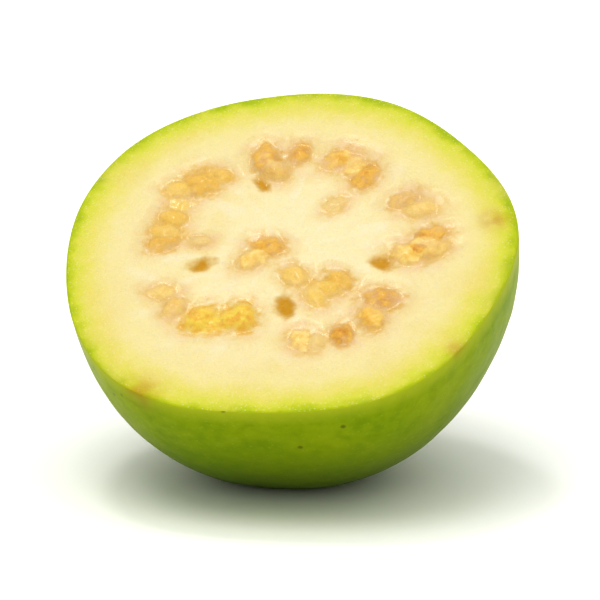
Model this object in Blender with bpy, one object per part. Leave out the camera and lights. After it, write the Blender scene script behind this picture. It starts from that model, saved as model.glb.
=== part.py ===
"""One half of a guava, cut across and lying on its skin with the cut face up and leaning to the front.

The flesh is one grown body: the domed skin side, the flat cut face with its sunken pulp, the seeds that stand
in it, the sockets of lost seeds, and the short green neck at the blossom end. The dried calyx on that neck is
the second piece. Metres, +Z up, the fruit lies on the surface z = 0, and the cut face leans towards -Y.
"""

import math
import random

import bmesh
import bpy
from mathutils import Matrix, Vector

# Fruit, measured round the axis of the cut
FACE_RADIUS = 0.0345
DOME_DEPTH = 0.0378
LEAN = math.radians(31)  # the cut face from the horizontal
FACE_CENTRE = Vector((-0.00031, -0.0073, 0.0359))  # low enough for a small flat under the round underside
# Bulges of the outline: how many round the fruit, size as a share of the radius, and phase in degrees
LOBES = ((2, 0.0129, 260), (3, 0.0082, 352), (4, 0.0114, 213), (5, 0.0128, 79), (6, 0.0065, 67))
AROUND = 80  # facets round the fruit
DOME_RINGS = 18
FACE_RINGS = 14

# Seeds on the cut face: first and last angle in degrees, radius at each end in metres, how many, and their size
SEED_ARCS = (
    (132, 150, 0.0206, 0.0219, 4, 0.88),
    (156, 180, 0.0213, 0.0186, 4, 0.88),
    (97, 111, 0.0215, 0.0206, 2, 1.0),
    (109, 109, 0.0184, 0.0184, 1, 1.0),
    (63, 80, 0.0197, 0.0212, 3, 1.0),
    (29, 38, 0.0214, 0.0205, 2, 1.0),
    (1, 15, 0.0179, 0.0224, 4, 1.0),
    (5, 5, 0.0223, 0.0223, 1, 1.0),
    (319, 333, 0.0205, 0.0188, 2, 1.0),
    (286, 286, 0.0186, 0.0186, 1, 1.0),
    (295, 295, 0.0196, 0.0196, 1, 0.72),
    (304, 304, 0.0202, 0.0202, 1, 1.0),
    (237, 256, 0.0186, 0.0150, 4, 1.0),
    (210, 221, 0.0198, 0.0194, 2, 1.0),
    (305, 328, 0.0104, 0.0100, 3, 0.88),
    (292, 292, 0.0056, 0.0056, 1, 0.88),
    (160, 202, 0.0034, 0.0046, 2, 1.0),
    (62, 62, 0.0116, 0.0116, 1, 0.72),
    (175, 175, 0.0143, 0.0143, 1, 0.72),
)
SEED_DRAW = 11
SEED_LENGTH = 0.0050
SEED_WIDTH = 0.0035
SEED_HEIGHT = 0.0030
SEED_TIP = 0.25  # how much narrower the pointed end is
SEED_SINK = 0.0004  # a seed's middle below the pulp round it
# Sockets that lost their seed: angle in degrees and radius
SOCKETS = ((116, 0.0156), (355, 0.0150), (280, 0.0116), (197, 0.0129))
SOCKET_LENGTH = 0.0042
SOCKET_WIDTH = 0.0030
SOCKET_DEPTH = 0.0022
SOCKET_TIP = 0.1
SOCKET_TURN = 0.2  # off the line to the middle, in radians
PULP_SINK = 0.0004  # the soft pulp below the firm flesh
PULP_RADIUS = 0.0245
PULP_EDGE = 0.0040  # width of the slope down to the pulp
SEED_DIMPLE = 0.0004
DIMPLE_REACH = 0.0026

# Blossom end, off the pole of the dome because no knife cuts quite square
CALYX_SLANT = math.radians(24)
SHOULDER_RISE = 0.0012
SHOULDER_REACH = math.radians(17)
NECK_ROOT = -0.0050
NECK_RADIUS = 0.0070
NECK_TOP = 0.0040
# The neck's side from its root upwards: radius as a share of NECK_RADIUS, and height over the dome
NECK_FLARE = ((1.60, -0.0024), (1.36, -0.0004), (1.18, 0.0010), (1.06, 0.0023), (1.00, 0.0034))
NECK_FACETS = 36
FIT_GAP = 0.0003

# Calyx: a cup whose wall rises into the sepals, with the stub of the style in its middle
CUP_RADIUS = 0.0066
CUP_FLOOR = 0.0011
WALL = 0.0012
SEPALS = 5
SEPAL_DRAW = 8
SEPAL_LENGTH = 0.0074
SEPAL_NOTCH = 0.0021  # height of the crown between two sepals
SEPAL_CURL = 0.0031  # how far a tip may curl out or in
SEPAL_BLUNT = 3.2  # 1 draws straight sides to a point, more makes the blade broad and round
SEPAL_DROOP = 0.0013  # height that a full curl takes off a tip
SEPAL_PINCH = 0.0006  # how far the wall leans in between two sepals
SEPAL_THINNING = 0.3  # share of the wall's thickness lost at the tips
SEPAL_FACETS = 12  # facets round the crown for each sepal
SEPAL_RINGS = 6
STYLE = ((0.0011, CUP_FLOOR), (0.0008, 0.0034), (0.0, 0.0042))  # radius and height, up to its tip

STAND = Matrix.Translation(FACE_CENTRE) @ Matrix.Rotation(LEAN, 4, "X")
CALYX_AXIS = Vector((0.0, math.sin(CALYX_SLANT), -math.cos(CALYX_SLANT)))


def material(name, colour, roughness):
    """A Principled material in one colour."""
    made = bpy.data.materials.new(name)
    made.use_nodes = True
    shader = made.node_tree.nodes["Principled BSDF"]
    shader.inputs["Base Color"].default_value = (*colour, 1.0)
    shader.inputs["Roughness"].default_value = roughness
    made.diffuse_color = (*colour, 1.0)
    return made


def add_object(name, bm, finish=None):
    """Turns a bmesh into an object of the scene."""
    mesh = bpy.data.meshes.new(name)
    bm.to_mesh(mesh)
    bm.free()
    made = bpy.data.objects.new(name, mesh)
    bpy.context.scene.collection.objects.link(made)
    if finish:
        mesh.materials.append(finish)
    return made


def turned(profile, steps):
    """A closed solid of revolution, from (radius, height) pairs that start and end on the axis."""
    bm = bmesh.new()
    outline = [bm.verts.new((r, 0.0, z)) for r, z in profile]
    edges = [bm.edges.new(pair) for pair in zip(outline, outline[1:])]
    bmesh.ops.spin(
        bm, geom=outline + edges, cent=(0, 0, 0), axis=(0, 0, 1), angle=math.tau, steps=steps, use_merge=True
    )
    bmesh.ops.remove_doubles(bm, verts=bm.verts, dist=1e-6)
    bmesh.ops.recalc_face_normals(bm, faces=bm.faces)
    return bm


def rim_scale(angle):
    """How far the skin stands out of a true circle at this angle."""
    bulges = [size * math.cos(count * angle - math.radians(phase)) for count, size, phase in LOBES]
    return 1 + sum(bulges)


def seed_places():
    """Each seed's angle, radius, turn of its long axis, size and lift, with seeded draws."""
    draw = random.Random(SEED_DRAW)
    places = []
    for first, last, first_radius, last_radius, count, grown in SEED_ARCS:
        for i in range(count):
            share = i / (count - 1) if count > 1 else 0.5
            angle = math.radians(first + (last - first) * share + draw.uniform(-1.5, 1.5))
            radius = first_radius + (last_radius - first_radius) * share + draw.uniform(-0.0007, 0.0007)
            turn = angle + draw.uniform(-0.6, 0.6)
            size = draw.uniform(0.84, 1.12) * grown
            lift = draw.uniform(-0.0002, 0.0003)
            places.append((angle, radius, turn, size, lift))
    return places


def pulp_height(x, y, seeds):
    """Height of the cut face over the plane of the cut: sunken pulp, with a dimple round each seed."""
    edge = min(max((PULP_RADIUS - math.hypot(x, y)) / PULP_EDGE, 0.0), 1.0)
    near = sum(
        math.exp(-((x - r * math.cos(a)) ** 2 + (y - r * math.sin(a)) ** 2) / DIMPLE_REACH**2)
        for a, r, _, _, _ in seeds
    )
    return -PULP_SINK * edge * edge * (3 - 2 * edge) - SEED_DIMPLE * min(near, 1.0)


def fruit_profile():
    """Half outline of the fruit from the pole up to the rim, then in along the cut face to its middle."""
    steps = (math.pi / 2 * i / DOME_RINGS for i in range(DOME_RINGS + 1))
    dome = [(FACE_RADIUS * math.sin(t), -DOME_DEPTH * math.cos(t)) for t in steps]
    face = [(FACE_RADIUS * (1 - i / FACE_RINGS), 0.0) for i in range(1, FACE_RINGS + 1)]
    return [(0.0, -DOME_DEPTH)] + dome[1:] + face


def shaped(point, seeds):
    """Moves a point of the turned fruit to its grown place."""
    depth_share = min(-point.z / DOME_DEPTH, 1.0)
    scale = 1 + (rim_scale(math.atan2(point.y, point.x)) - 1) * (1 - depth_share**2)
    x, y = point.x * scale, point.y * scale
    if point.z < -1e-6:
        rise = SHOULDER_RISE * math.exp(-((point.angle(CALYX_AXIS) / SHOULDER_REACH) ** 2))
        return Vector((x, y, point.z)) + point.normalized() * rise
    on_rim = math.hypot(point.x, point.y) > FACE_RADIUS - 1e-6
    return Vector((x, y, 0.0 if on_rim else pulp_height(x, y, seeds)))


def fruit_body(finish, seeds):
    """The flesh: a turned outline, shaped by hand-set bulges and cut flat where it rests."""
    bm = turned(fruit_profile(), AROUND)
    for vertex in bm.verts:
        vertex.co = shaped(vertex.co, seeds)
    bmesh.ops.transform(bm, matrix=STAND, verts=bm.verts)
    everything = bm.verts[:] + bm.edges[:] + bm.faces[:]
    floor = {"plane_co": (0, 0, 0), "plane_no": (0, 0, -1)}
    cut = bmesh.ops.bisect_plane(bm, geom=everything, dist=1e-6, clear_outer=True, **floor)
    loop = [edge for edge in cut["geom_cut"] if isinstance(edge, bmesh.types.BMEdge)]
    bmesh.ops.contextual_create(bm, geom=loop)
    bmesh.ops.recalc_face_normals(bm, faces=bm.faces)
    return add_object("guava_half", bm, finish)


def egg(length, width, height, tip):
    """A seed's egg shape along X, drawn in towards +X, as a bmesh."""
    bm = bmesh.new()
    bmesh.ops.create_icosphere(bm, subdivisions=2, radius=0.5)
    for vertex in bm.verts:
        narrow = 1 - tip * (vertex.co.x + 0.5)
        vertex.co *= Vector((length, width * narrow, height * narrow))
    return bm


def seed_bodies(seeds):
    """Seeds with their lower half in the pulp and their points towards the middle of the fruit."""
    made = []
    for angle, radius, turn, size, lift in seeds:
        bm = egg(SEED_LENGTH * size, SEED_WIDTH * size, SEED_HEIGHT * size, SEED_TIP)
        x, y = radius * math.cos(angle), radius * math.sin(angle)
        place = Matrix.Translation((x, y, pulp_height(x, y, seeds) - SEED_SINK + lift))
        turned_in = Matrix.Rotation(turn + math.pi, 4, "Z")
        bmesh.ops.transform(bm, matrix=STAND @ place @ turned_in, verts=bm.verts)
        made.append(add_object("seed_form", bm))
    return made


def socket_cutters(seeds):
    """Egg-shaped cutters for the sockets of lost seeds."""
    made = []
    for degrees, radius in SOCKETS:
        angle = math.radians(degrees)
        bm = egg(SOCKET_LENGTH, SOCKET_WIDTH, 2 * SOCKET_DEPTH, SOCKET_TIP)
        x, y = radius * math.cos(angle), radius * math.sin(angle)
        place = Matrix.Translation((x, y, pulp_height(x, y, seeds)))
        turn = Matrix.Rotation(angle + SOCKET_TURN, 4, "Z")
        bmesh.ops.transform(bm, matrix=STAND @ place @ turn, verts=bm.verts)
        made.append(add_object("socket_form", bm))
    return made


def blossom_end(height):
    """Place on the blossom end's axis at this height over the dome, with +Z out along the axis."""
    dome = 1 / math.hypot(math.sin(CALYX_SLANT) / FACE_RADIUS, math.cos(CALYX_SLANT) / DOME_DEPTH)
    turn = Matrix.Rotation(math.pi + CALYX_SLANT, 4, "X")
    return STAND @ turn @ Matrix.Translation((0, 0, dome + height))


def neck_body():
    """The green neck that carries the calyx, rooted in the flesh."""
    side = [(NECK_RADIUS * share, height) for share, height in NECK_FLARE]
    foot = (side[0][0], NECK_ROOT)
    profile = [(0.0, NECK_ROOT), foot, *side, (NECK_RADIUS * 0.97, NECK_TOP), (0.0, NECK_TOP)]
    bm = turned(profile, NECK_FACETS)
    bmesh.ops.transform(bm, matrix=blossom_end(0), verts=bm.verts)
    return add_object("neck_form", bm)


def sepal_draws():
    """For each sepal: its length as a share, its curl (above 0 is outwards) and its lean to the side."""
    draw = random.Random(SEPAL_DRAW)
    limits = ((0.84, 1.1), (-0.7, 1.0), (-0.25, 0.25))
    return [tuple(draw.uniform(*limit) for limit in limits) for _ in range(SEPALS)]


def crown_point(angle, share, outside, sepals):
    """Place on the crown's wall at this angle and this share of the way up, on its outer or inner side."""
    turn = angle / math.tau * SEPALS % SEPALS
    length, curl, lean = sepals[int(turn) % SEPALS]
    across = 2 * (turn % 1) - 1
    blade = 1 - abs(across) ** SEPAL_BLUNT
    bent = blade * share**2
    top = SEPAL_NOTCH + (SEPAL_LENGTH * length - SEPAL_NOTCH) * blade - SEPAL_DROOP * abs(curl) * bent
    foot = 0.0 if outside else CUP_FLOOR
    wall = 0.0 if outside else WALL * (1 - SEPAL_THINNING * share)
    radius = CUP_RADIUS - wall + SEPAL_CURL * curl * bent - SEPAL_PINCH * (1 - blade) * share
    turned_to = angle + lean * bent
    return Vector((radius * math.cos(turned_to), radius * math.sin(turned_to), foot + (top - foot) * share))


def calyx_body(finish):
    """The dried calyx: one turned cup, whose wall is drawn up into five broad curled sepals."""
    shares = [i / SEPAL_RINGS for i in range(SEPAL_RINGS + 1)]
    inner = CUP_RADIUS - WALL
    outline = [(0.0, 0.0)] + [(CUP_RADIUS, share) for share in shares]
    outline += [(inner, share) for share in reversed(shares)] + list(STYLE)
    bm = turned(outline, SEPALS * SEPAL_FACETS)
    sepals = sepal_draws()
    for vertex in bm.verts:
        radius = math.hypot(vertex.co.x, vertex.co.y)
        if radius > inner / 2:
            angle = math.atan2(vertex.co.y, vertex.co.x)
            vertex.co = crown_point(angle, vertex.co.z, radius > CUP_RADIUS - WALL / 2, sepals)
    bmesh.ops.transform(bm, matrix=blossom_end(NECK_TOP + FIT_GAP), verts=bm.verts)
    bmesh.ops.recalc_face_normals(bm, faces=bm.faces)
    return add_object("calyx", bm, finish)


def boolean(target, others, operation):
    """Applies one Boolean of a collection of helper objects to the target, then removes the helpers."""
    helpers = bpy.data.collections.new("helpers")
    bpy.context.scene.collection.children.link(helpers)
    for other in others:
        bpy.context.scene.collection.objects.unlink(other)
        helpers.objects.link(other)
    step = target.modifiers.new(operation.lower(), "BOOLEAN")
    step.operation = operation
    step.operand_type = "COLLECTION"
    step.collection = helpers
    graph = bpy.context.evaluated_depsgraph_get()
    joined = bpy.data.meshes.new_from_object(target.evaluated_get(graph))
    target.modifiers.clear()
    target.data = joined
    for other in others:
        bpy.data.objects.remove(other)
    bpy.data.collections.remove(helpers)


def smooth(target):
    """Shades the round surfaces smooth and keeps the cut's rim sharp."""
    target.data.shade_smooth()
    target.data.set_sharp_from_angle(angle=math.radians(40))


def build():
    """Clears the scene and builds both pieces."""
    for old in list(bpy.data.objects):
        bpy.data.objects.remove(old)
    flesh = material("guava_flesh_and_skin", (0.72, 0.72, 0.30), 0.45)
    dry = material("dried_calyx", (0.12, 0.06, 0.03), 0.8)
    seeds = seed_places()
    half = fruit_body(flesh, seeds)
    boolean(half, [neck_body()] + seed_bodies(seeds), "UNION")
    boolean(half, socket_cutters(seeds), "DIFFERENCE")
    smooth(half)
    smooth(calyx_body(dry))


build()
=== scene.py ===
"""One half of a guava, dressed for its picture: waxy skin, wet flesh, seeds in pulp and the dried calyx.

Metres, +Z up. The fruit lies on its skin at z = 0 and its cut face leans towards -Y. Most shapes are made in
the fruit's own frame, where the cut is the plane z = 0, and STAND puts them in place.
"""

import math
import random

import bmesh
import bpy
import numpy as np
from mathutils import Matrix, Vector, noise


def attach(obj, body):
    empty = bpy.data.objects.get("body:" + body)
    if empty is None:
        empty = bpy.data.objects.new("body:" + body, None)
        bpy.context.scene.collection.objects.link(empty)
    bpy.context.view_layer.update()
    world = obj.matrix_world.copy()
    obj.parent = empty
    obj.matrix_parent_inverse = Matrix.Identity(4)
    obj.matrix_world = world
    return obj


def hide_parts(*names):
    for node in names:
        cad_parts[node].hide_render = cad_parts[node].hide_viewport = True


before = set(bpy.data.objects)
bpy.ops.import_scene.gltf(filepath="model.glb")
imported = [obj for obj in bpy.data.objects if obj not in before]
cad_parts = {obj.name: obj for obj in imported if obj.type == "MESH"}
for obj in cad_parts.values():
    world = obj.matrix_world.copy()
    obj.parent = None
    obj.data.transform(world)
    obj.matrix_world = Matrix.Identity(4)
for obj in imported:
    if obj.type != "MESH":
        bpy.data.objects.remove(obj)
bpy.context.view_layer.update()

MM = 0.001

# The fruit, with the same values as its solid
FACE_RADIUS = 34.5 * MM
DOME_DEPTH = 37.8 * MM
LEAN = math.radians(31)
FACE_CENTRE = Vector((-0.00031, -0.0073, 0.0359))
# Bulges of the outline: how many round the fruit, size as a share of the radius, and phase in degrees
LOBES = ((2, 0.0129, 260), (3, 0.0082, 352), (4, 0.0114, 213), (5, 0.0128, 79), (6, 0.0065, 67))
PULP_SINK = 0.4 * MM  # how far the soft pulp has sunk below the firm flesh
PULP_RADIUS = 24.5 * MM
PULP_EDGE = 4.0 * MM  # width of the slope between the two

# Fineness of the mesh: steps round the fruit, rings from the pole to the middle of the cut, cuts at the neck
AROUND = 360
DOME_RINGS = 64
EDGE_RINGS = 4
FACE_RINGS = 132
NECK_CUTS = 2
NECK_FINE = (5.0 * MM, 10.5 * MM)  # from and to this distance from the calyx's axis

# Surface of the skin and of the cut
EDGE_ROUND = 0.4 * MM  # the knife's edge round the face, slightly worn
RIM_STRAYS = 0.003  # how unevenly the outline runs, as a share of the radius
SKIN_DENTS = ((0.30 * MM, 13 * MM, 0.0), (0.07 * MM, 4 * MM, 3.0))  # depth, size, and where in the noise
DENTS_START = 4 * MM  # they reach full depth this far from the rim
CUT_WAVES = 0.07 * MM  # depth of the slow waves that the knife left
CUT_WAVE_SIZE = 6 * MM
GREEN_FAR = 0.4  # how many millimetres further in the green rind shows at the high side of the cut
GROUND_SOFT = 0.12 * MM  # how softly the skin flattens on the ground
FAR = 9.0  # a distance that means nowhere near, in shares of a seed

# Seeds: first and last angle in degrees, radius at each end in millimetres, how many, and how they look
SEED_ARCS = (
    (132, 150, 20.6, 21.9, 4, "honey"),
    (156, 180, 21.3, 18.6, 4, "honey"),
    (97, 111, 21.5, 20.6, 2, "amber"),
    (109, 109, 18.4, 18.4, 1, "veiled"),
    (63, 80, 19.7, 21.2, 3, "amber"),
    (29, 38, 21.4, 20.5, 2, "veiled"),
    (1, 15, 17.9, 22.4, 4, "amber"),
    (5, 5, 22.3, 22.3, 1, "veiled"),
    (319, 333, 20.5, 18.8, 2, "amber"),
    (286, 286, 18.6, 18.6, 1, "amber"),
    (295, 295, 19.6, 19.6, 1, "faint"),
    (304, 304, 20.2, 20.2, 1, "amber"),
    (237, 256, 18.6, 15.0, 4, "gold"),
    (210, 221, 19.8, 19.4, 2, "veiled"),
    (305, 328, 10.4, 10.0, 3, "honey"),
    (292, 292, 5.6, 5.6, 1, "honey"),
    (160, 202, 3.4, 4.6, 2, "amber"),
    (62, 62, 11.6, 11.6, 1, "faint"),
    (175, 175, 14.3, 14.3, 1, "faint"),
)
# How gold a seed is, how far pulp veils it, and its size
SEED_LOOKS = {
    "amber": (0.0, 0.0, 1.0), "honey": (0.3, 0.15, 0.88), "gold": (0.9, 0.0, 1.0),
    "veiled": (0.0, 0.5, 1.0), "faint": (0.0, 1.0, 0.72),
}
SEED_DRAW = 11
# How far a seed may be off its arc, in degrees and millimetres, and in its turn, then its share of the usual
# size and its lift in millimetres, each from least to most
SEED_OFF_ANGLE = 1.5
SEED_OFF_RADIUS = 0.7
SEED_OFF_TURN = 0.6
SEED_SIZES = (0.84, 1.12)
SEED_LIFTS = (-0.2, 0.3)
SEED_LENGTH = 5.0 * MM
SEED_WIDTH = 3.5 * MM
SEED_HEIGHT = 2.6 * MM
SEED_TIP = 0.25  # how much narrower its pointed end is
SEED_SET = 0.70 * MM  # a seed's middle below the pulp round it, so that only its back shows
# Sockets that lost their seed: angle in degrees, radius, length and width in millimetres, and share of depth
SOCKETS = (
    (116, 15.6, 5.4, 2.2, 0.7),
    (355, 15.0, 3.8, 3.2, 1.0),
    (280, 11.6, 4.8, 3.2, 1.0),
    (197, 12.9, 4.8, 3.2, 0.75),
)
SOCKET_DEPTH = 0.8 * MM
SOCKET_TURN = 0.2  # how far its length is turned off the way to the middle, in radians
SOCKET_WALL = (0.15, 1.15)  # where its wall starts and ends, as shares of its half size
SOCKET_PALE = 0.8  # how much less of a shallow one takes the dark ochre and painted shade
POCKET_DEPTH = 0.24 * MM  # the pulp's soft hollow round the seeds
POCKET_WALL = (0.9, 2.5)  # where its wall starts and ends, as shares of a seed's half size
PULP_RAGGED = 0.30  # how far all these borders stray
PULP_LUMPS = 2.0 * MM  # and the size of the lumps in them
JELLY_REACH = 1.32  # how far the clear jelly clings round a seed, as a share of the seed
JELLY_FILM = 0.22 * MM  # and how thick it lies on the seed's back: where it thins out, the seed is bare
FILM_LUMPS = 1.5 * MM  # size of its thin and thick patches
VEIL_FILM = 0.30 * MM  # what more of it lies on a seed that is fully veiled
JELLY_CROWN = 0.75  # its back's shape: 0.5 is half a ball, and a higher value falls off sooner
JELLY_BLEND = 0.11 * MM  # how softly it runs into the pulp
JELLY_RAGGED = 0.6  # how much of the pulp's straying its border takes
JELLY_JOIN = 0.34  # how readily the jelly of neighbouring seeds runs together
# Blemishes of the cut's edge: angle in degrees, distance in from the rim, and reach
BRUISES = ((243, 0.6 * MM, 2.6 * MM), (16, 3.4 * MM, 2.0 * MM), (328, 0.5 * MM, 1.4 * MM))
BRUISE_DEPTH = 0.6
# Pale fibres that run out from the middle: strength, length, width as a share of the radius, where they fade
# in and out, and how clear of a seed they stay
FIBRE_DEPTH = 0.45
FIBRE_LENGTH = 40 * MM
FIBRE_WIDTH = 0.12
FIBRE_START = (1 * MM, 7 * MM)
FIBRE_END = (29 * MM, 20 * MM)
FIBRE_CLEAR = (1.1, 1.9)

# Blossom end
CALYX_SLANT = math.radians(24)
SHOULDER_RISE = 1.2 * MM  # how far the skin swells towards the neck
SHOULDER_REACH = math.radians(17)
NECK_RADIUS = 7.0 * MM
NECK_TOP = 4.0 * MM
NECK_REACH = 12 * MM  # nothing further from the axis, or further below the dome, belongs to the neck
NECK_FOOT = -6 * MM
# The neck's outside from its foot up: share of its radius, and height over the dome in millimetres
NECK_FLARE = ((1.60, -2.4), (1.36, -0.4), (1.18, 1.0), (1.06, 2.3), (1.00, 3.4), (0.97, 4.0))
NECK_BLEND = 0.5 * MM
NECK_RIBS = 10
NECK_RIB_DEPTH = 0.03  # as a share of its radius
NECK_GREEN = 0.8  # how far it takes the paler green of the calyx's foot
CUP_RADIUS = 6.6 * MM
CUP_FLOOR = 1.1 * MM
SEPALS = 5
SEPAL_DRAW = 8
SEPAL_LENGTH = 8.4 * MM
SEPAL_BEND = 1.35  # how far a full curl turns the tip, in radians
SEPAL_THICKNESS = 0.6 * MM
SEPAL_SPAN = 1.2  # its width at the foot, as a share of the room it has in the ring
SEPAL_FOLD = 0.8 * MM
SEPAL_LIP = 0.9 * MM
SEPAL_KEEL = 0.35 * MM
SEPAL_STEPS = 40
STYLE_HEIGHT = 4.2 * MM
STAMENS = 46
STAMEN_LENGTH = 2.0 * MM

# Where the fruit stands, the way out through its calyx, and the skin's distance from the middle on that way
STAND = Matrix.Translation(FACE_CENTRE) @ Matrix.Rotation(LEAN, 4, "X")
CALYX_AXIS = Vector((0.0, math.sin(CALYX_SLANT), -math.cos(CALYX_SLANT)))
AXIS_DEPTH = 1 / math.hypot(math.sin(CALYX_SLANT) / FACE_RADIUS, math.cos(CALYX_SLANT) / DOME_DEPTH)

# Camera and light
CAMERA_AZIMUTH = math.radians(13.3)
CAMERA_ELEVATION = math.radians(14.5)
CAMERA_DISTANCE = 0.68
CAMERA_AIM = Vector((0.0, 0.0, 0.0262))
PICTURE_WIDTH = 0.091  # what the picture takes in at the fruit
AIR_STRENGTH = 0.90
SWEEP_HALF = 6.0
PICTURE_GAMMA = 0.75  # the crisp contrast of a picture shot on white


def camera():
    """A long lens at the photograph's viewing angle."""
    data = bpy.data.cameras.new("camera")
    made = bpy.data.objects.new("camera", data)
    bpy.context.scene.collection.objects.link(made)
    data.sensor_width = 36
    data.lens = data.sensor_width * CAMERA_DISTANCE / PICTURE_WIDTH
    level = math.cos(CAMERA_ELEVATION)
    back = Vector((
        math.sin(CAMERA_AZIMUTH) * level,
        -math.cos(CAMERA_AZIMUTH) * level,
        math.sin(CAMERA_ELEVATION),
    ))
    made.location = CAMERA_AIM + back * CAMERA_DISTANCE
    made.rotation_euler = (-back).to_track_quat("-Z", "Y").to_euler()
    bpy.context.scene.camera = made


def sun(name, towards, strength, spread):
    """Even light from a wide source: towards points from the fruit to it, spread is its width in degrees."""
    data = bpy.data.lights.new(name, "SUN")
    data.energy = strength
    data.angle = math.radians(spread)
    made = bpy.data.objects.new(name, data)
    bpy.context.scene.collection.objects.link(made)
    made.rotation_euler = Vector(towards).to_track_quat("Z", "Y").to_euler()


def studio():
    """White sweep, pale surroundings, wide soft lights and a small one that glints on what is wet."""
    world = bpy.data.worlds.new("studio_air")
    world.use_nodes = True
    air = world.node_tree.nodes["Background"].inputs
    air["Color"].default_value = (1.0, 1.0, 1.0, 1.0)
    air["Strength"].default_value = AIR_STRENGTH
    bpy.context.scene.world = world
    sun("key_above_left", (-0.14, -0.30, 0.94), 0.72, 32)
    sun("sparkle_behind_left", (-0.22, 0.14, 0.96), 0.36, 9)
    sun("top", (0.1, 0.1, 1.0), 0.4, 90)
    sun("fill_front_right", (0.50, -0.65, 0.57), 0.2, 60)
    bm = bmesh.new()
    bmesh.ops.create_grid(bm, x_segments=1, y_segments=1, size=SWEEP_HALF)
    add_object("floor", bm, paper_sweep())
    bpy.context.scene.view_settings.view_transform = "Standard"
    bpy.context.scene.view_settings.gamma = PICTURE_GAMMA


# Materials

def hex_colour(text):
    """Linear RGBA from an sRGB hex value."""
    parts = [int(text[i : i + 2], 16) / 255 for i in (1, 3, 5)]
    return (*[p / 12.92 if p <= 0.04045 else ((p + 0.055) / 1.055) ** 2.4 for p in parts], 1.0)


def node(tree, kind, inputs=None, stops=(), **settings):
    """Adds one node. Inputs are values or sockets linked to them, stops are a ramp's places and colours."""
    made = tree.nodes.new(kind)
    for name, value in settings.items():
        setattr(made, name, value)
    for name, value in (inputs or {}).items():
        if isinstance(value, bpy.types.NodeSocket):
            tree.links.new(value, made.inputs[name])
        else:
            made.inputs[name].default_value = value
    for index, (place, colour) in enumerate(stops):
        new = index >= len(made.color_ramp.elements)
        stop = made.color_ramp.elements.new(place) if new else made.color_ramp.elements[index]
        stop.position = place
        stop.color = hex_colour(colour)
    return made


def finish(name, **constants):
    """A Principled material: its constants are set on the shader's own sockets."""
    made = bpy.data.materials.new(name)
    made.use_nodes = True
    shader = made.node_tree.nodes["Principled BSDF"]
    for key, value in constants.items():
        shader.inputs[key.replace("_", " ").title().replace("Ior", "IOR")].default_value = value
    return made, made.node_tree, shader


def per_mm(size):
    """Scale of a pattern on Object coordinates, whose grain is this many millimetres."""
    return 1 / (size * MM)


def paper_sweep():
    """Matt white studio paper: an even pale ground that takes the fruit's soft shadow."""
    made, _, _ = finish(
        "matt_white_paper", base_color=hex_colour("#F8F8F6"), roughness=0.9, specular_ior_level=0.1,
    )
    return made


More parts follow.
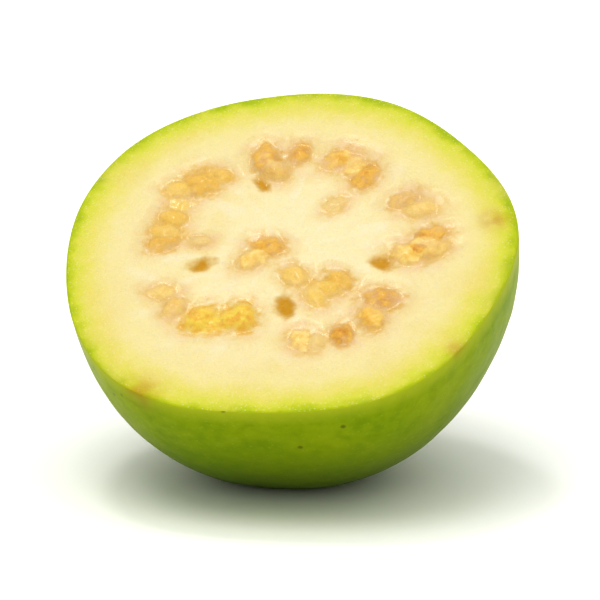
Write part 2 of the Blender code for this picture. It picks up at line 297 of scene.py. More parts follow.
def guava_skin():
    """Waxy guava rind: satin yellow-green, mottled, pored and specked, with a painted highlight just below
    the rim and painted shade deepening its green towards the underside.
    """
    made, tree, shader = finish(
        "waxy_guava_skin", roughness=0.38, ior=1.16, subsurface_weight=0.08,
        subsurface_radius=(1.0, 1.2, 0.1), subsurface_scale=1.5 * MM,
    )
    place = node(tree, "ShaderNodeTexCoord").outputs["Object"]
    share = {
        name: node(tree, "ShaderNodeAttribute", attribute_name=name).outputs["Fac"]
        for name in ("rim_mm", "neck", "bruise")
    }
    broad = node(tree, "ShaderNodeTexNoise", {"Vector": place, "Scale": per_mm(15), "Detail": 3.0})
    base = node(
        tree, "ShaderNodeValToRGB", {"Fac": broad.outputs["Fac"]},
        stops=((0.30, "#7E9700"), (0.52, "#8C9F00"), (0.72, "#9AA700")),
    )
    fleck = {"Vector": place, "Scale": per_mm(2.2), "Detail": 6.0, "Roughness": 0.62}
    mottle = node(tree, "ShaderNodeTexNoise", fleck)
    mottled = node(
        tree, "ShaderNodeValToRGB", {"Fac": mottle.outputs["Fac"]},
        stops=((0.34, "#728E00"), (0.50, "#8B9F00"), (0.68, "#9FAD20")),
    )
    both = {0: 0.38, 6: base.outputs["Color"], 7: mottled.outputs["Color"]}
    colour = node(tree, "ShaderNodeMix", both, data_type="RGBA").outputs[2]
    # painted shade: the rind turns deep green further from the rim, darker towards the underside
    painted_underside_shade = node(
        tree, "ShaderNodeMapRange",
        {"Value": share["rim_mm"], "From Min": 3.0, "From Max": 26.0, "To Min": 0.0, "To Max": 0.8},
        interpolation_type="SMOOTHSTEP",
    )
    # painted highlight: paler lime on the skin just below the rim, where light glows through the thin edge
    edge = node(
        tree, "ShaderNodeMapRange",
        {"Value": share["rim_mm"], "From Min": 0.4, "From Max": 3.4, "To Min": 0.85, "To Max": 0.0},
    )
    cells = node(tree, "ShaderNodeTexVoronoi", {"Vector": place, "Scale": per_mm(1.0)}).outputs["Distance"]
    pore = node(
        tree, "ShaderNodeMapRange",
        {"Value": cells, "From Min": 0.10, "From Max": 0.24, "To Min": 0.22, "To Max": 0.0},
    )
    grains = node(tree, "ShaderNodeTexVoronoi", {"Vector": place, "Scale": per_mm(7.5)}).outputs["Distance"]
    speck = node(
        tree, "ShaderNodeMapRange",
        {"Value": grains, "From Min": 0.03, "From Max": 0.07, "To Min": 0.7, "To Max": 0.0},
    )
    for amount, tint in (
        (painted_underside_shade.outputs["Result"], "#5F7800"),
        (edge.outputs["Result"], "#B1B92F"),
        (share["neck"], "#A6AA39"),
        (pore.outputs["Result"], "#B2BA56"),
        (speck.outputs["Result"], "#635C16"),
        (share["bruise"], "#9F7A29"),
    ):
        mixed = {0: amount, 6: colour, 7: hex_colour(tint)}
        colour = node(tree, "ShaderNodeMix", mixed, data_type="RGBA").outputs[2]
    tree.links.new(colour, shader.inputs["Base Color"])
    dents = node(tree, "ShaderNodeTexNoise", {"Vector": place, "Scale": per_mm(5.0), "Detail": 2.0})
    grain = node(tree, "ShaderNodeTexNoise", {"Vector": place, "Scale": per_mm(0.7), "Detail": 2.0})
    low = {"Height": dents.outputs["Fac"], "Distance": 0.22 * MM, "Strength": 1.0}
    low = node(tree, "ShaderNodeBump", low).outputs["Normal"]
    fine = {"Height": grain.outputs["Fac"], "Distance": 0.03 * MM, "Strength": 1.0, "Normal": low}
    tree.links.new(node(tree, "ShaderNodeBump", fine).outputs["Normal"], shader.inputs["Normal"])
    return made


def guava_flesh():
    """Firm wet guava flesh: creamy yellow, gritty with stone cells, green at the skin, amber at the seeds,
    with painted shade in their creases and sockets and painted glints in the pinkish jelly.
    """
    made, tree, shader = finish(
        "wet_guava_flesh", roughness=0.42, ior=1.24, subsurface_weight=0.35,
        subsurface_radius=(1.0, 0.75, 0.35), subsurface_scale=1.6 * MM, coat_roughness=0.12, coat_ior=1.36,
    )
    place = node(tree, "ShaderNodeTexCoord").outputs["Object"]
    share = {
        name: node(tree, "ShaderNodeAttribute", attribute_name=name).outputs["Fac"]
        for name in ("rim_mm", "seed", "outline", "socket", "tone", "gold", "veil", "fibre", "bruise")
    }
    cloud = node(tree, "ShaderNodeTexNoise", {"Vector": place, "Scale": per_mm(3.0), "Detail": 4.0})
    wander = {0: cloud.outputs["Fac"], 1: 3.4, 2: share["rim_mm"]}
    depth = node(tree, "ShaderNodeMath", wander, operation="MULTIPLY_ADD")
    inward = node(
        tree, "ShaderNodeMapRange", {"Value": depth.outputs["Value"], "From Min": 1.7, "From Max": 26.7},
    )
    colour = node(
        tree, "ShaderNodeValToRGB", {"Fac": inward.outputs["Result"]},
        stops=(
            (0.0, "#A4B414"), (0.03, "#B8C026"), (0.07, "#CACA4E"), (0.15, "#D5CC72"),
            (0.27, "#DBD099"), (0.42, "#DCD0A2"), (0.80, "#DED3AA"), (1.0, "#DED4AD"),
        ),
    ).outputs["Color"]
    warm = node(tree, "ShaderNodeTexNoise", {"Vector": place, "Scale": per_mm(9.0), "Detail": 2.0})
    honey = node(
        tree, "ShaderNodeMapRange",
        {"Value": warm.outputs["Fac"], "From Min": 0.50, "From Max": 0.72, "To Min": 0.0, "To Max": 0.35},
    )
    flecks = node(tree, "ShaderNodeTexVoronoi", {"Vector": place, "Scale": per_mm(0.6)}).outputs["Distance"]
    sparkle = node(
        tree, "ShaderNodeMapRange",
        {"Value": flecks, "From Min": 0.12, "From Max": 0.30, "To Min": 0.32, "To Max": 0.0},
    )
    ragged, patchy = (
        node(
            tree, "ShaderNodeTexNoise", {"Vector": place, "Scale": per_mm(size), "Detail": detail}
        ).outputs["Fac"]
        for size, detail in ((1.3, 4.0), (2.6, 3.0))
    )
    near, own, into = (
        node(
            tree, "ShaderNodeMath", {0: ragged, 1: stray, 2: share[name]}, operation="MULTIPLY_ADD"
        ).outputs["Value"]
        for name, stray in (("seed", 1.5), ("outline", 1.0), ("socket", 0.9))
    )
    glow, amber, socket_ochre_and_shade, pink_jelly_and_glint, fill, painted_crease_shade = (
        node(
            tree, "ShaderNodeMapRange",
            {"Value": value, "From Min": low, "From Max": high, "To Min": least, "To Max": most},
            interpolation_type="SMOOTHSTEP",
        ).outputs["Result"]
        for value, low, high, least, most in (
            (near, 1.75, 3.50, 0.70, 0.0),
            (near, 1.30, 2.40, 1.0, 0.0),
            (into, 0.85, 1.95, 1.0, 0.0),
            (patchy, 0.46, 0.64, 0.0, 1.0),
            (patchy, 0.42, 0.60, 0.95, 0.62),
            (own, 1.20, 1.55, 0.0, 0.45),
        )
    )
    amber, gold, veil, pink_jelly_and_glint = (
        node(tree, "ShaderNodeMath", {0: first, 1: second}, operation="MULTIPLY").outputs["Value"]
        for first, second in ((amber, fill), (amber, share["gold"]), (amber, share["veil"]), (glow, pink_jelly_and_glint))
    )
    mixed = {0: share["tone"], 1: 0.45, 2: ragged}
    mixed = node(tree, "ShaderNodeMath", mixed, operation="MULTIPLY_ADD").outputs["Value"]
    seed_colour = node(
        tree, "ShaderNodeValToRGB", {"Fac": mixed},
        stops=((0.42, "#E2CB86"), (0.62, "#DCB95E"), (0.80, "#D5A94A"), (0.97, "#C28D36")),
    ).outputs["Color"]
    # painted shade: the seed colour darkens to brown ochre in the crease at each seed's edge
    darker = {0: painted_crease_shade, 6: seed_colour, 7: hex_colour("#BA8536")}
    seed_colour = node(tree, "ShaderNodeMix", darker, data_type="RGBA").outputs[2]
    gold_colour = node(
        tree, "ShaderNodeValToRGB", {"Fac": ragged}, stops=((0.38, "#D6AC46"), (0.58, "#DEC758")),
    ).outputs["Color"]
    for amount, tint in (
        (honey.outputs["Result"], hex_colour("#D7C482")),
        (share["fibre"], hex_colour("#DFD8BE")),
        (sparkle.outputs["Result"], hex_colour("#DED6B5")),
        (glow, hex_colour("#D8C08A")),
        # the jelly's own pinkish tint, partly a painted glint in patches between the seeds
        (pink_jelly_and_glint, hex_colour("#DBC29E")),
        (amber, seed_colour),
        (gold, gold_colour),
        (veil, hex_colour("#D7BF84")),
        # sockets: their ochre lining plus painted shade of the hollow, darker the deeper it is
        (socket_ochre_and_shade, hex_colour("#C29524")),
        (share["bruise"], hex_colour("#B68224")),
    ):
        colour = node(tree, "ShaderNodeMix", {0: amount, 6: colour, 7: tint}, data_type="RGBA").outputs[2]
    tree.links.new(colour, shader.inputs["Base Color"])
    pith = {"Vector": place, "Scale": per_mm(0.45), "Detail": 3.0, "Roughness": 0.65}
    grain = node(tree, "ShaderNodeTexNoise", pith)
    wet = node(
        tree, "ShaderNodeMapRange",
        {"Value": grain.outputs["Fac"], "From Min": 0.3, "From Max": 0.7, "To Min": 0.22, "To Max": 0.52},
    )
    tree.links.new(wet.outputs["Result"], shader.inputs["Roughness"])
    gloss = node(tree, "ShaderNodeMath", {0: glow, 1: 0.45}, operation="MULTIPLY")
    tree.links.new(gloss.outputs["Value"], shader.inputs["Coat Weight"])
    lumps = node(tree, "ShaderNodeTexNoise", {"Vector": place, "Scale": per_mm(1.5), "Detail": 2.0})
    normal = None
    for height, tall, strength in (
        (lumps.outputs["Fac"], 0.22, 1.0), (ragged, 0.30, glow), (grain.outputs["Fac"], 0.12, 1.0),
    ):
        bump = {"Height": height, "Distance": tall * MM, "Strength": strength}
        bump |= {"Normal": normal} if normal else {}
        normal = node(tree, "ShaderNodeBump", bump).outputs["Normal"]
    tree.links.new(normal, shader.inputs["Normal"])
    return made


def seed_coat():
    """Hard guava seed in a film of juice: honey tan to amber, paler where pulp still covers its sides."""
    made, tree, shader = finish(
        "wet_guava_seed", roughness=0.34, ior=1.42, subsurface_weight=0.35,
        subsurface_radius=(1.0, 0.6, 0.25), subsurface_scale=1.4 * MM, coat_weight=0.25, coat_roughness=0.12,
    )
    place = node(tree, "ShaderNodeTexCoord").outputs["Object"]
    share = {
        name: node(tree, "ShaderNodeAttribute", attribute_name=name).outputs["Fac"]
        for name in ("tone", "gold", "veil")
    }
    cloud = node(tree, "ShaderNodeTexNoise", {"Vector": place, "Scale": per_mm(1.3), "Detail": 4.0})
    blend = {0: share["tone"], 1: 0.6, 2: cloud.outputs["Fac"]}
    blend = node(tree, "ShaderNodeMath", blend, operation="MULTIPLY_ADD")
    colour = node(
        tree, "ShaderNodeValToRGB", {"Fac": blend.outputs["Value"]},
        stops=((0.30, "#DCBE74"), (0.60, "#D9B158"), (0.85, "#D4A649"), (1.0, "#CB9A40")),
    ).outputs["Color"]
    for amount, tint in ((share["gold"], "#D5B441"), (share["veil"], "#D5B368")):
        mixed = {0: amount, 6: colour, 7: hex_colour(tint)}
        colour = node(tree, "ShaderNodeMix", mixed, data_type="RGBA").outputs[2]
    tree.links.new(colour, shader.inputs["Base Color"])
    lumps = {"Height": cloud.outputs["Fac"], "Distance": 0.14 * MM, "Strength": 1.0}
    bump = node(tree, "ShaderNodeBump", lumps)
    tree.links.new(bump.outputs["Normal"], shader.inputs["Normal"])
    return made


def dry_sepal():
    """Dried guava sepal: leathery dark brown, with a painted highlight of tan to pink on its curled lips,
    green at its outer foot.
    """
    made, tree, shader = finish("dried_guava_sepal", roughness=0.55, ior=1.45)
    place = node(tree, "ShaderNodeTexCoord").outputs["Object"]
    painted_lip_highlight, green = (
        node(tree, "ShaderNodeAttribute", attribute_name=name).outputs["Fac"] for name in ("painted_lip_highlight", "green")
    )
    leather = {"Vector": place, "Scale": per_mm(1.8), "Detail": 5.0, "Roughness": 0.65}
    cloud = node(tree, "ShaderNodeTexNoise", leather)
    colour = node(
        tree, "ShaderNodeValToRGB", {"Fac": cloud.outputs["Fac"]},
        stops=((0.32, "#291A14"), (0.50, "#43291F"), (0.66, "#674436")),
    ).outputs["Color"]
    grassy = node(
        tree, "ShaderNodeValToRGB", {"Fac": cloud.outputs["Fac"]},
        stops=((0.35, "#7D7D1F"), (0.60, "#9FA334")),
    )
    for amount, tint in ((painted_lip_highlight, hex_colour("#9F7A67")), (green, grassy.outputs["Color"])):
        mixed = {0: amount, 6: colour, 7: tint}
        colour = node(tree, "ShaderNodeMix", mixed, data_type="RGBA").outputs[2]
    tree.links.new(colour, shader.inputs["Base Color"])
    grain = node(tree, "ShaderNodeTexNoise", {"Vector": place, "Scale": per_mm(0.5), "Detail": 4.0})
    wrinkles = {"Height": grain.outputs["Fac"], "Distance": 0.15 * MM, "Strength": 1.0}
    bump = node(tree, "ShaderNodeBump", wrinkles)
    tree.links.new(bump.outputs["Normal"], shader.inputs["Normal"])
    return made


# Meshes

def add_object(name, bm, *materials):
    """Turns a bmesh into an object of the scene, shaded smooth."""
    mesh = bpy.data.meshes.new(name)
    bm.to_mesh(mesh)
    bm.free()
    for material in materials:
        mesh.materials.append(material)
    mesh.shade_smooth()
    made = bpy.data.objects.new(name, mesh)
    bpy.context.scene.collection.objects.link(made)
    return made


def paint(made, **values):
    """Stores one number per vertex under each name, for the materials to read."""
    for name, numbers in values.items():
        layer = made.data.attributes.new(name, "FLOAT", "POINT")
        layer.data.foreach_set("value", np.asarray(numbers, dtype=np.float32))


def smoothstep(low, high, value):
    """0 at low, 1 at high and eased between them."""
    share = np.clip((value - low) / (high - low), 0, 1)
    return share * share * (3 - 2 * share)


def grown_noise(points, size, offset=0.0):
    """Smooth noise from -1 to 1 at each point, with lumps of this size."""
    shift = Vector((offset, offset * 1.7, offset * 0.6))
    return np.array([noise.noise(Vector(p) / size + shift) for p in points])


def rim_scale(angle):
    """How far out the skin stands at each angle, as a share of the mean radius."""
    return 1 + sum(size * np.cos(count * angle - math.radians(phase)) for count, size, phase in LOBES)


def seed_places():
    """Each seed's angle, radius, turn of its long axis, size, lift and look, with seeded draws."""
    draw = random.Random(SEED_DRAW)
    places = []
    for first, last, first_radius, last_radius, count, look in SEED_ARCS:
        for i in range(count):
            share = i / (count - 1) if count > 1 else 0.5
            angle = first + (last - first) * share + draw.uniform(-SEED_OFF_ANGLE, SEED_OFF_ANGLE)
            angle = math.radians(angle)
            radius = first_radius + (last_radius - first_radius) * share
            radius = (radius + draw.uniform(-SEED_OFF_RADIUS, SEED_OFF_RADIUS)) * MM
            turn = angle + draw.uniform(-SEED_OFF_TURN, SEED_OFF_TURN)
            size = draw.uniform(*SEED_SIZES) * SEED_LOOKS[look][2]
            lift = draw.uniform(*SEED_LIFTS) * MM
            places.append((angle, radius, turn, size, lift, look))
    return places


def seed_tones(seeds):
    """How deep each seed's colour is, from 0 to 1."""
    draw = random.Random(SEED_DRAW + 1)
    return np.array([draw.uniform(0, 1) for _ in seeds])


def seed_seat(radius, lift):
    """Height of a seed's middle, sunk in the pulp so that only its back shows."""
    sink = PULP_SINK * float(smoothstep(PULP_RADIUS, PULP_RADIUS - PULP_EDGE, radius))
    return lift - SEED_SET - POCKET_DEPTH - sink


def oval_share(x, y, angle, radius, turn, length, width):
    """How far each point of the cut is from an oval's middle, as a share of its half size."""
    dx = x - radius * math.cos(angle)
    dy = y - radius * math.sin(angle)
    along = (dx * math.cos(turn) + dy * math.sin(turn)) / (length / 2)
    across = (dy * math.cos(turn) - dx * math.sin(turn)) / (width / 2)
    return np.hypot(along, across)


def pulp(x, y, seeds):
    """The pulp at each point of the cut.

    Gives its height, the nearest seed and the distance to it, then the distances to the seeds' joined jelly
    and to a socket, as shares of their half sizes.
    """
    level = np.stack((x, y, np.zeros_like(x)), axis=1)
    wobble = PULP_RAGGED * grown_noise(level, PULP_LUMPS, 20.0)
    shares = np.array([
        oval_share(x, y, angle, radius, turn, SEED_LENGTH * size, SEED_WIDTH * size)
        for angle, radius, turn, size, _, _ in seeds
    ])
    seed = shares.min(axis=0)
    height = -PULP_SINK * smoothstep(PULP_RADIUS, PULP_RADIUS - PULP_EDGE, np.hypot(x, y))
    height -= POCKET_DEPTH * (1 - smoothstep(*POCKET_WALL, seed + wobble))
    socket = np.full_like(x, FAR)
    for degrees, radius, length, width, depth in SOCKETS:
        angle = math.radians(degrees)
        share = oval_share(x, y, angle, radius * MM, angle + SOCKET_TURN, length * MM, width * MM) + wobble
        height -= SOCKET_DEPTH * depth * (1 - smoothstep(*SOCKET_WALL, share))
        socket = np.minimum(socket, share + SOCKET_PALE * (1 - depth))
    film = JELLY_FILM * grown_noise(level, FILM_LUMPS, 50.0)
    for share, (_, radius, _, size, lift, look) in zip(shares, seeds):
        within = np.clip((share + JELLY_RAGGED * wobble) / JELLY_REACH, 0.0, 1.0)
        cover = film + VEIL_FILM * SEED_LOOKS[look][1]
        dome = seed_seat(radius, lift) + cover + SEED_HEIGHT * size / 2 * (1 - within**2) ** JELLY_CROWN
        height = JELLY_BLEND * np.logaddexp(height / JELLY_BLEND, dome / JELLY_BLEND)
    joined = -JELLY_JOIN * np.log(np.exp(-shares / JELLY_JOIN).sum(axis=0))
    return height, shares.argmin(axis=0), seed, joined, socket


def fruit_outline():
    """Half outline of the fruit from the pole up to the rounded rim, then in along the cut face."""
    top = math.acos(EDGE_ROUND / DOME_DEPTH)
    steps = [top * i / DOME_RINGS for i in range(1, DOME_RINGS + 1)]
    points = [(0.0, -DOME_DEPTH)] + [(FACE_RADIUS * math.sin(t), -DOME_DEPTH * math.cos(t)) for t in steps]
    inside = FACE_RADIUS - EDGE_ROUND
    for i in range(1, EDGE_RINGS + 1):
        turn = math.pi / 2 * i / EDGE_RINGS
        points.append((inside + EDGE_ROUND * math.cos(turn), -EDGE_ROUND * (1 - math.sin(turn))))
    points += [(inside * (1 - i / FACE_RINGS), 0.0) for i in range(1, FACE_RINGS + 1)]
    return points


def to_calyx(points):
    """Height over the dome's nominal skin, distance from the calyx axis and angle round it."""
    axis = np.array(CALYX_AXIS)
    side = np.array((1.0, 0.0, 0.0))
    other = np.cross(axis, side)
    height = points @ axis - AXIS_DEPTH
    u, v = points @ side, points @ other
    return height, np.hypot(u, v), np.arctan2(v, u)


def turned(profile, steps):
    """A solid of revolution from (radius, height) pairs, as a bmesh."""
    bm = bmesh.new()
    outline = [bm.verts.new((r, 0.0, z)) for r, z in profile]
    edges = [bm.edges.new(pair) for pair in zip(outline, outline[1:])]
    bmesh.ops.spin(
        bm, geom=outline + edges, cent=(0, 0, 0), axis=(0, 0, 1), angle=math.tau, steps=steps, use_merge=True
    )
    bmesh.ops.remove_doubles(bm, verts=bm.verts, dist=0.001 * MM)
    bmesh.ops.recalc_face_normals(bm, faces=bm.faces)
    return bm


def neck_height(distance, angle):
    """Height of the neck's ribbed outside over the dome, by distance from its axis and angle round it."""
    ribs = 0.5 * np.cos(NECK_RIBS * angle) + 0.5 * np.cos((NECK_RIBS - 3) * angle + 1.0)
    shares = [share * NECK_RADIUS for share, _ in reversed(NECK_FLARE)]
    heights = [height * MM for _, height in reversed(NECK_FLARE)]
    return np.interp(distance * (1 - NECK_RIB_DEPTH * ribs), shares, heights, right=-1.0)


def finer_neck(bm):
    """Cuts the faces round the blossom end finer, for the ribs of the neck."""
    close = set()
    for face in bm.faces:
        middle = face.calc_center_median()
        if middle.z < -EDGE_ROUND and middle.dot(CALYX_AXIS) > 0:
            away = to_calyx(np.array([middle]))[1][0]
            if NECK_FINE[0] < away < NECK_FINE[1]:
                close.add(face)
    edges = [edge for edge in bm.edges if not close.isdisjoint(edge.link_faces)]
    bmesh.ops.subdivide_edges(bm, edges=edges, cuts=NECK_CUTS, use_grid_fill=True)


def round_places(angle):
    """Places on a ring of radius 1 to read noise at, so that it closes round the fruit."""
    return np.stack((np.cos(angle), np.sin(angle), np.full_like(angle, 0.3)), axis=1)


def grown_shape(ideal, angle, on_face, from_rim):
    """The round fruit's points moved to its bulges, shoulders, dents and neck, and how green the neck is."""
    unevenness = RIM_STRAYS * grown_noise(round_places(angle), 0.3)
    depth_share = np.minimum(-ideal[:, 2] / DOME_DEPTH, 1.0)
    scale = 1 + (rim_scale(angle) + unevenness - 1) * (1 - depth_share**2)
    points = ideal * np.stack((scale, scale, np.ones_like(scale)), axis=1)

    outward = ideal / np.maximum(np.linalg.norm(ideal, axis=1, keepdims=True), 1e-9)
    off_axis = np.arccos(np.clip(outward @ np.array(CALYX_AXIS), -1, 1))
    rise = SHOULDER_RISE * np.exp(-((off_axis / SHOULDER_REACH) ** 2))
    dents = sum(depth * grown_noise(ideal, size, place) for depth, size, place in SKIN_DENTS)
    skin_move = np.where(on_face, 0.0, rise + dents * smoothstep(0, DENTS_START, from_rim))
    points += outward * skin_move[:, None]

    height, distance, round_axis = to_calyx(points)
    near = ~on_face & (distance < NECK_REACH) & (height > NECK_FOOT)
    neck = neck_height(distance, round_axis)
    lifted = NECK_BLEND * np.logaddexp(height / NECK_BLEND, neck / NECK_BLEND)
    points += np.where(near, lifted - height, 0.0)[:, None] * np.array(CALYX_AXIS)
    return points, np.where(near, NECK_GREEN * smoothstep(NECK_REACH, NECK_RADIUS, distance), 0.0)


def fibre_share(angle, radius, seed):
    """How strongly the pale fibres show at each point of the cut."""
    places = round_places(angle) + np.outer(radius / FIBRE_LENGTH, (0, 0, 1))
    fibre = FIBRE_DEPTH * smoothstep(0.05, 0.5, grown_noise(places, FIBRE_WIDTH, 4.0))
    fibre *= smoothstep(*FIBRE_START, radius) * smoothstep(*FIBRE_END, radius)
    return fibre * smoothstep(*FIBRE_CLEAR, seed)


def bruise_share(points):
    """How brown the cut's edge is, in broken patches at its blemishes."""
    bruise = np.zeros(len(points))
    for bearing, inward, reach in BRUISES:
        turn = math.radians(bearing)
        off = FACE_RADIUS * rim_scale(turn) - inward
        centre = np.array((off * math.cos(turn), off * math.sin(turn), 0.0))
        bruise += BRUISE_DEPTH * np.exp(-np.sum((points - centre) ** 2, axis=1) / reach**2)
    return bruise * smoothstep(-1.3, 0.5, grown_noise(points, 1.6 * MM, 60.0))


def fruit(seeds):
    """Skin and cut face in one mesh, fine enough for sockets, dents and the ribbed neck."""
    bm = turned(fruit_outline(), AROUND)
    finer_neck(bm)
    made = add_object("fruit", bm, guava_skin(), guava_flesh())
    mesh = made.data
    ideal = np.empty(len(mesh.vertices) * 3)
    mesh.vertices.foreach_get("co", ideal)
    ideal = ideal.reshape(-1, 3)
    angle = np.arctan2(ideal[:, 1], ideal[:, 0])
    radius = np.hypot(ideal[:, 0], ideal[:, 1])
    on_face = ideal[:, 2] > -1e-7
    from_rim = np.where(on_face, FACE_RADIUS - radius, -ideal[:, 2])

    points, neck = grown_shape(ideal, angle, on_face, from_rim)
    sunk, nearest, outline, seed, socket = pulp(points[:, 0], points[:, 1], seeds)
    waves = CUT_WAVES * grown_noise(ideal, CUT_WAVE_SIZE, 9.0) * smoothstep(0, 2 * MM, from_rim)
    points[:, 2] += np.where(on_face, sunk + waves, 0.0)
    world = points @ np.array(STAND.to_3x3()).T + np.array(FACE_CENTRE)
    world[:, 2] = GROUND_SOFT * np.logaddexp(world[:, 2] / GROUND_SOFT, 0.0)
    mesh.vertices.foreach_set("co", world.ravel())

    cut = ideal[:, 2] > -EDGE_ROUND * 0.4
    flesh = [all(cut[v] for v in polygon.vertices) for polygon in mesh.polygons]
    mesh.polygons.foreach_set("material_index", np.array(flesh, dtype=np.int32))
    looks = np.array([SEED_LOOKS[look] for *_, look in seeds])[nearest]
    paint(
        made,
        rim_mm=from_rim / MM - GREEN_FAR * np.sin(angle),
        neck=neck,
        seed=np.where(on_face, seed, FAR),
        outline=np.where(on_face, outline, FAR),
        socket=np.where(on_face, socket, FAR),
        tone=seed_tones(seeds)[nearest],
        gold=looks[:, 0],
        veil=looks[:, 1],
        fibre=np.where(on_face, fibre_share(angle, radius, seed), 0.0),
        bruise=bruise_share(points),
    )
    mesh.update()
    return made


def seeds_piece(seeds):
    """Every seed of the cut face, sunk in the pulp up to its back, its point towards the fruit's middle."""
    whole = bmesh.new()
    values = {"tone": [], "gold": [], "veil": []}
    draw = random.Random(SEED_DRAW + 2)
    for (angle, radius, turn, size, lift, look), tone in zip(seeds, seed_tones(seeds)):
        made = bmesh.ops.create_icosphere(whole, subdivisions=4, radius=0.5)["verts"]
        shift = Vector((draw.uniform(0, 50), 0, 0))
        for vertex in made:
            flank = vertex.co.z
            narrow = 1 - SEED_TIP * (vertex.co.x + 0.5)
            lump = 1 + 0.11 * noise.noise(vertex.co * 2.3 + shift) + 0.03 * noise.noise(vertex.co * 6 + shift)
            vertex.co *= Vector((SEED_LENGTH, SEED_WIDTH * narrow, SEED_HEIGHT * narrow)) * (size * lump)
            values["tone"].append(tone)
            gold, veil, _ = SEED_LOOKS[look]
            values["gold"].append(gold)
            values["veil"].append(max(1 - float(smoothstep(0.2, 0.42, flank)), veil))
        seat = (radius * math.cos(angle), radius * math.sin(angle), seed_seat(radius, lift))
        place = STAND @ Matrix.Translation(seat) @ Matrix.Rotation(turn + math.pi, 4, "Z")
        bmesh.ops.transform(whole, matrix=place, verts=made)
    made = add_object("seeds", whole, seed_coat())
    paint(made, **values)
    return made


def blossom_end(height):
    """Place on the blossom end's axis at this height over the dome, with +Z out along the axis."""
    turn = Matrix.Rotation(math.pi + CALYX_SLANT, 4, "X")
    return STAND @ turn @ Matrix.Translation((0, 0, AXIS_DEPTH + height))


def sepal_draws():
    """For each sepal: its length as a share, its curl (above 0 is outwards) and its lean to the side."""
    draw = random.Random(SEPAL_DRAW)
    limits = ((0.84, 1.1), (-0.7, 1.0), (-0.25, 0.25))
    return [tuple(draw.uniform(*limit) for limit in limits) for _ in range(SEPALS)]


def sepal(index, length, curl, lean):
    """One dried sepal as a bmesh: a broad blunt blade, bent along its length, creased, its lips rolled."""
    bm = bmesh.new()
    painted_lip_highlight_layer = bm.verts.layers.float.new("painted_lip_highlight")
    green_layer = bm.verts.layers.float.new("green")
    bmesh.ops.create_grid(bm, x_segments=34, y_segments=26, size=1.0)
    inner = bmesh.ops.extrude_face_region(bm, geom=bm.faces[:], use_keep_orig=True)["geom"]
    inner = [part for part in inner if isinstance(part, bmesh.types.BMVert)]
    bmesh.ops.translate(bm, vec=(0, 0, 1), verts=inner)
    steps = np.linspace(0, 1, SEPAL_STEPS + 1)
    bends = SEPAL_BEND * curl * steps**1.3
    step = SEPAL_LENGTH * length / SEPAL_STEPS
    run = np.concatenate(((0,), np.cumsum(np.sin(bends[:-1])))) * step
    climb = np.concatenate(((0,), np.cumsum(np.cos(bends[:-1])))) * step
    middle = math.tau * (index + 0.5) / SEPALS
    half_turn = SEPAL_SPAN / 2 * math.tau / SEPALS
    for vertex in bm.verts:
        across, along, inside = vertex.co.x, (vertex.co.y + 1) / 2, vertex.co.z
        border = max(abs(across) ** 3, along**6)
        blunt = math.sqrt(1 - 0.9 * along**5)
        reach = along * (1 - 0.14 * across**2)
        bend = float(np.interp(reach, steps, bends))
        fold = noise.noise(Vector((across * 1.7 + index * 7, along * 1.4, 0)))
        fold += 0.35 * math.cos(across * 9 + index)
        keel = SEPAL_KEEL * math.exp(-((across / 0.16) ** 2))
        off = SEPAL_FOLD * fold * along + SEPAL_LIP * border * along + keel
        off -= SEPAL_THICKNESS * inside * (1 - 0.5 * border)
        radius = CUP_RADIUS - 0.4 * MM + float(np.interp(reach, steps, run)) + off * math.cos(bend)
        height = float(np.interp(reach, steps, climb)) - off * math.sin(bend) - 0.5 * MM
        radius += 0.25 * MM * (index % 2) * (1 - along)
        angle = middle + half_turn * across * blunt * (1 - 0.10 * along) + lean * along**2
        vertex.co = Vector((radius * math.cos(angle), radius * math.sin(angle), height))
        # painted highlight: tan to pink on the curled lips, strongest at the rolled border towards the tip
        vertex[painted_lip_highlight_layer] = 0.85 * min(border * along * 1.3, 1.0)
        grown = float(smoothstep(0.72, 0.30, along) * smoothstep(1.3, 0.8, abs(across)))
        vertex[green_layer] = grown * (1 - inside)
    bmesh.ops.recalc_face_normals(bm, faces=bm.faces)
    bmesh.ops.smooth_vert(bm, verts=bm.verts, factor=0.5, use_axis_x=True, use_axis_y=True, use_axis_z=True)
    return bm


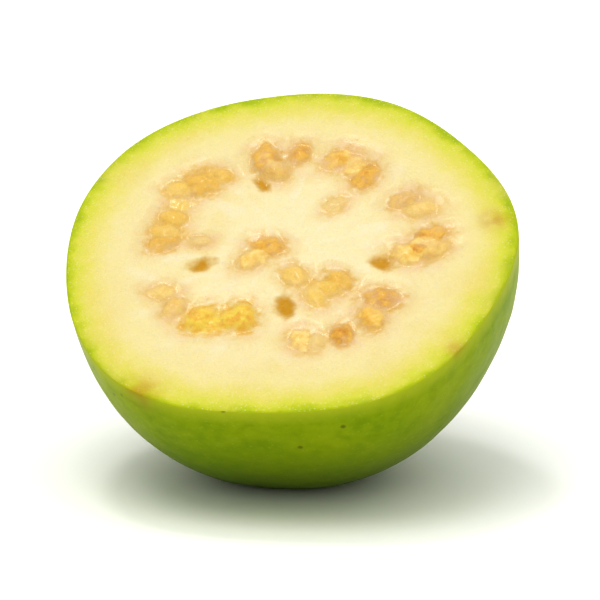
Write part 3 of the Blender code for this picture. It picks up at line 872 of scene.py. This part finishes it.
def calyx():
    """The dried calyx: cup, curled sepals, the stub of the style and the withered stamens."""
    whole = turned(
        (
            (0.0, -0.4 * MM), (CUP_RADIUS - 0.3 * MM, -0.4 * MM), (CUP_RADIUS - 0.1 * MM, 0.6 * MM),
            (CUP_RADIUS - 0.9 * MM, 1.6 * MM), (CUP_RADIUS - 1.7 * MM, CUP_FLOOR),
            (1.2 * MM, CUP_FLOOR * 0.8), (0.9 * MM, STYLE_HEIGHT * 0.5), (0.7 * MM, STYLE_HEIGHT * 0.85),
            (0.85 * MM, STYLE_HEIGHT * 0.95), (0.0, STYLE_HEIGHT),
        ),
        48,
    )
    whole.verts.layers.float.new("painted_lip_highlight")
    green_layer = whole.verts.layers.float.new("green")
    for vertex in whole.verts:
        vertex[green_layer] = 0.9 if vertex.co.xy.length > CUP_RADIUS - 0.5 * MM else 0.0
    draw = random.Random(SEPAL_DRAW + 1)
    for i in range(STAMENS):
        made = bmesh.ops.create_cone(
            whole, cap_ends=True, segments=5, radius1=0.16 * MM, radius2=0.07 * MM, depth=STAMEN_LENGTH
        )["verts"]
        bearing = math.tau * i / STAMENS + draw.uniform(-0.05, 0.05)
        away = draw.uniform(2.4, 4.6) * MM
        tilt = Matrix.Rotation(draw.uniform(-0.2, 0.7), 4, "Y")
        tilt @= Matrix.Rotation(draw.uniform(-0.5, 0.5), 4, "X")
        place = Matrix.Rotation(bearing, 4, "Z") @ Matrix.Translation((away, 0, CUP_FLOOR + 0.6 * MM))
        bmesh.ops.transform(whole, matrix=place @ tilt, verts=made)
    scratch = bpy.data.meshes.new("sepal")
    for index, (length, curl, lean) in enumerate(sepal_draws()):
        bm = sepal(index, length, curl, lean)
        bm.to_mesh(scratch)
        bm.free()
        whole.from_mesh(scratch)
    bpy.data.meshes.remove(scratch)
    bmesh.ops.transform(whole, matrix=blossom_end(NECK_TOP), verts=whole.verts)
    return add_object("dried_calyx", whole, dry_sepal())


def build():
    """Makes every piece, hangs it under the root and hides the part it replaces."""
    camera()
    studio()
    seeds = seed_places()
    for piece, cad_node, slot in (
        (fruit(seeds), "guava_half", "guava_flesh_and_skin"),
        (seeds_piece(seeds), "guava_half", "guava_flesh_and_skin"),
        (calyx(), "calyx", "dried_calyx"),
    ):
        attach(piece, "root")
        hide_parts(cad_node)


build()
